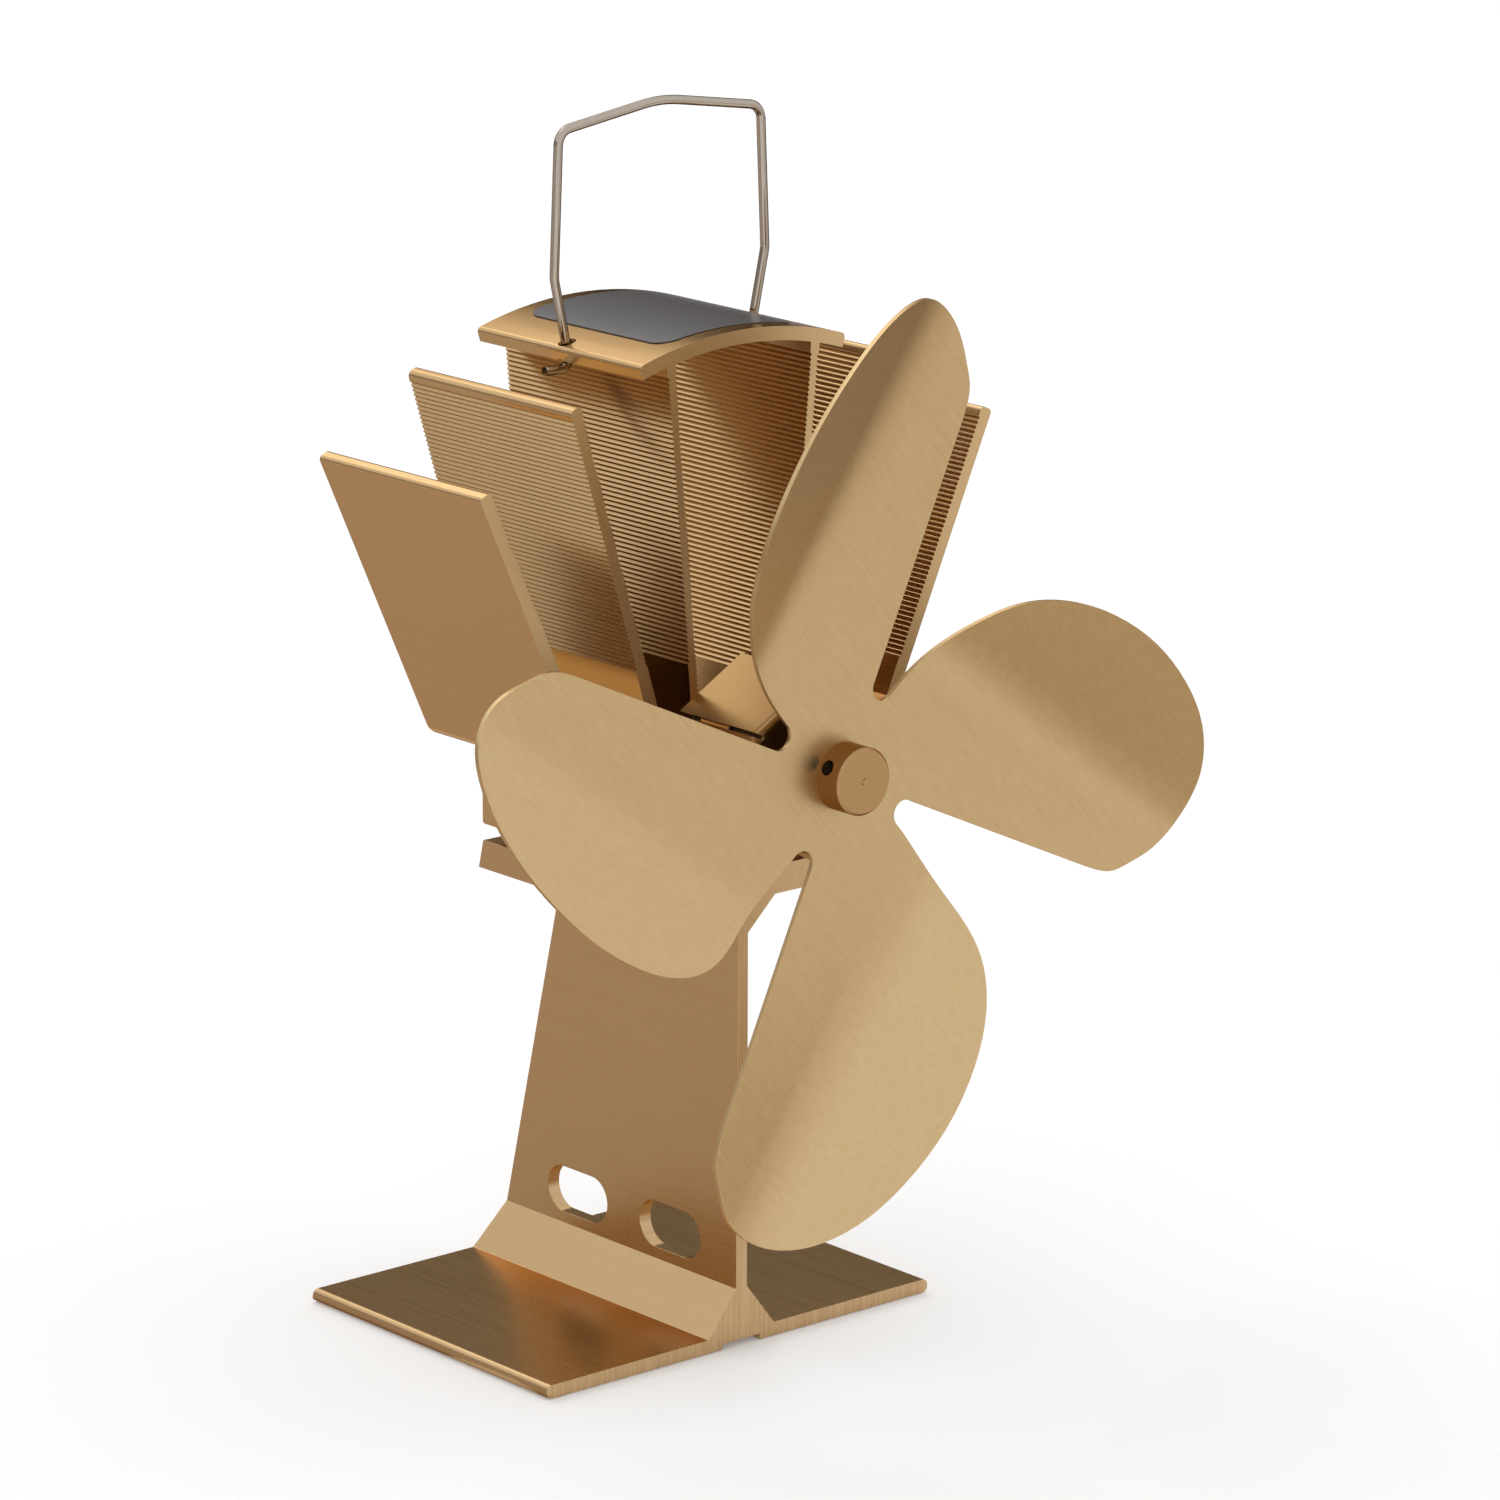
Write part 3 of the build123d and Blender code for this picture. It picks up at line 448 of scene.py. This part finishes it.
def lathe_rings_and_painted_side_shade(tree):
    """Rings on the faces, and painted shade on the sides, which take the deep colour."""
    paler = {0: squareness(tree), 1: 1 - ring_share}
    share = add(tree, "ShaderNodeMath", {"operation": "MULTIPLY"}, paler).outputs[0]
    rings = {0: turned(tree, lathe_ring), 1: ring_share, 2: share}
    return add(tree, "ShaderNodeMath", {"operation": "MULTIPLY_ADD"}, rings).outputs[0]


# The deep colour is painted shade on the hub's sides; the light one carries the lathe rings on its
# faces.
copper_gold = finish(
    "anodised_turned_aluminium", lathe_rings_and_painted_side_shade, "#8C6843", "#BE9A6B", (0.3, 0.4), 0.00002,
    Metallic=1.0, Specular_Tint=edge_tint,
)
dress(copper_gold, "hub")
dress(black_oxide, "hub_set_screw")
break_edges(hub_edge, "hub")
break_edges(set_screw_edge, "hub_set_screw")

# Propeller. Four blades blanked from one brushed sheet and each rolled forward along its leading
# side, then anodised satin. Its blanked edges are rounded by tumbling and catch the light.
blade_edge = 0.00025
gold_sheet = finish(
    "brushed_anodised_sheet", brushed, "#BD9F70", "#DAC195", (0.32, 0.42), 0.000006,
    Metallic=1.0, Specular_Tint=edge_tint,
)
dress(gold_sheet, "propeller")
break_edges(blade_edge, "propeller")

# Studio. Matt white paper under the fan, soft white light all round, two lamps above and behind,
# and cloths that only the metal mirrors: a near one that is painted shadow, lying where the fan's
# shadow falls in front and to the right, brown and grey ones on the table round the fan, a dark one
# standing behind to the right for flat tops, and a grey one behind to the left.
bpy.context.scene.view_settings.view_transform = "Standard"
floor_side = 12.0
floor_drop = 0.0002
bpy.ops.mesh.primitive_plane_add(size=floor_side, location=(0, 0, -floor_drop))
floor = bpy.context.object
floor.name = "studio_floor"
paper_lift = 0.15
paper = bpy.data.materials.new("white_paper")
paper.use_nodes = True
tree = paper.node_tree
shader = tree.nodes["Principled BSDF"]
shader.inputs["Base Color"].default_value = linear("#FCFCFC")
shader.inputs["Roughness"].default_value = 0.9
rays = add(tree, "ShaderNodeLightPath").outputs
seen = rays["Is Camera Ray"]
for ray in ("Is Glossy Ray", "Is Transmission Ray"):
    seen = add(tree, "ShaderNodeMath", {"operation": "MAXIMUM"}, {0: seen, 1: rays[ray]}).outputs[0]
lifted = {0: seen, 1: paper_lift}
share = add(tree, "ShaderNodeMath", {"operation": "MULTIPLY"}, lifted).outputs[0]
white = add(tree, "ShaderNodeEmission", inputs={"Color": (1, 1, 1, 1), "Strength": 1.0})
layers = {0: share, 1: shader.outputs[0], 2: white.outputs[0]}
mixed = add(tree, "ShaderNodeMixShader", inputs=layers).outputs[0]
tree.links.new(mixed, tree.nodes["Material Output"].inputs["Surface"])
floor.data.materials.append(paper)

# Each cloth has the angles that it spans, its inner and outer reach, its height, and its colour.
cloth_thickness = 0.0004
dark_cloth_lift = 0.1
cloths = (
    # The near cloth is painted shadow: the metal mirrors it in place of the fan's shadow in front
    # and to the right.
    ("painted_shadow_cloth_near", (-85, -35), 0.1, 0.26, 0.0, "#BFAB97"),
    ("table_cloth_front", (-80, -20), 0.42, 2.3, 0.0, "#DCD3CC"),
    ("table_cloth_right", (-20, 80), 0.2, 2.3, 0.0, "#7E726C"),
    ("table_cloth_left", (95, 200), 0.05, 2.3, 0.0, "#C6B9B1"),
    ("dark_cloth", (4, 88), 2.4, 2.4, 1.2, "#231710"),
    ("grey_cloth", (84, 200), 2.4, 2.4, 0.9, "#A39A94"),
)
for name, spread, reach, far_reach, height, colour in cloths:
    lift = dark_cloth_lift if name == "dark_cloth" else cloth_thickness
    bpy.ops.mesh.primitive_circle_add(vertices=96, radius=reach, location=(0, 0, lift))
    cloth = bpy.context.object
    cloth.name = name
    bpy.ops.object.mode_set(mode="EDIT")
    bpy.ops.mesh.select_all(action="SELECT")
    bpy.ops.mesh.extrude_region_move(TRANSFORM_OT_translate={"value": (0, 0, height)})
    bpy.ops.transform.resize(value=(far_reach / reach, far_reach / reach, 1))
    for edge_angle in (radians(spread[0] - 90), radians(spread[1] + 90)):
        bpy.ops.mesh.select_all(action="SELECT")
        bpy.ops.mesh.bisect(
            plane_co=(0, 0, 0), plane_no=(cos(edge_angle), sin(edge_angle), 0), clear_outer=True
        )
    bpy.ops.object.mode_set(mode="OBJECT")
    felt = bpy.data.materials.new(name)
    felt.use_nodes = True
    shader = felt.node_tree.nodes["Principled BSDF"]
    shader.inputs["Base Color"].default_value = linear(colour)
    shader.inputs["Roughness"].default_value = 1.0
    cloth.data.materials.append(felt)
    cloth.visible_camera = False
    cloth.visible_shadow = height > 0
    cloth.visible_diffuse = False

world = bpy.data.worlds.new("studio")
bpy.context.scene.world = world
world.use_nodes = True
background = world.node_tree.nodes["Background"]
background.inputs["Color"].default_value = (1, 1, 1, 1)
background.inputs["Strength"].default_value = 1.0

lamp_target = Vector((0, 0, 0.1))
for name, place, width, height, power in (
    ("overhead_lamp", (0.8, 1.6, 1.75), 1.4, 0.8, 4.0),
    ("rear_lamp", (-0.4, 1.5, 2.6), 1.6, 1.6, 7.0),
):
    lamp_data = bpy.data.lights.new(name, "AREA")
    lamp_data.shape = "RECTANGLE"
    lamp_data.size = width
    lamp_data.size_y = height
    lamp_data.energy = power
    lamp = bpy.data.objects.new(name, lamp_data)
    bpy.context.collection.objects.link(lamp)
    lamp.location = place
    lamp.rotation_euler = (lamp_target - Vector(place)).to_track_quat("-Z", "Y").to_euler()

# Camera. Its place, turn and lens are solved from the photograph, by the cut face of the heat
# sink: the point on it that view_target gives lies at target_pixel there.
cut_face_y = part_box("heat_sink")[0].y
view_target = Vector((0.0, cut_face_y, 0.0966))
target_pixel = (742.785, 862.95)
view_azimuth = radians(-40.630)
view_elevation = radians(14.627)
view_roll = radians(0.165)
view_distance = 1.28162
picture_side = 1500
focal_pixels = 6756.9
sensor_width = 36.0

outward = cos(view_elevation)
back = Vector((sin(view_azimuth) * outward, -cos(view_azimuth) * outward, sin(view_elevation)))
level = Vector((0, 0, 1)).cross(back).normalized()
upright = back.cross(level)
right = level * cos(view_roll) + upright * sin(view_roll)
up = upright * cos(view_roll) - level * sin(view_roll)
metres_per_pixel = view_distance / focal_pixels
aside = (target_pixel[0] - picture_side / 2) * metres_per_pixel
above = (target_pixel[1] - picture_side / 2) * metres_per_pixel
place = view_target + back * view_distance - right * aside + up * above
camera_data = bpy.data.cameras.new("camera")
camera = bpy.data.objects.new("camera", camera_data)
bpy.context.collection.objects.link(camera)
camera_data.sensor_width = sensor_width
camera_data.lens = focal_pixels / picture_side * sensor_width
camera_data.clip_start = 0.05
camera_data.clip_end = 20.0
turn = Matrix((right, up, back)).transposed().to_4x4()
camera.matrix_world = Matrix.Translation(place) @ turn
bpy.context.scene.camera = camera
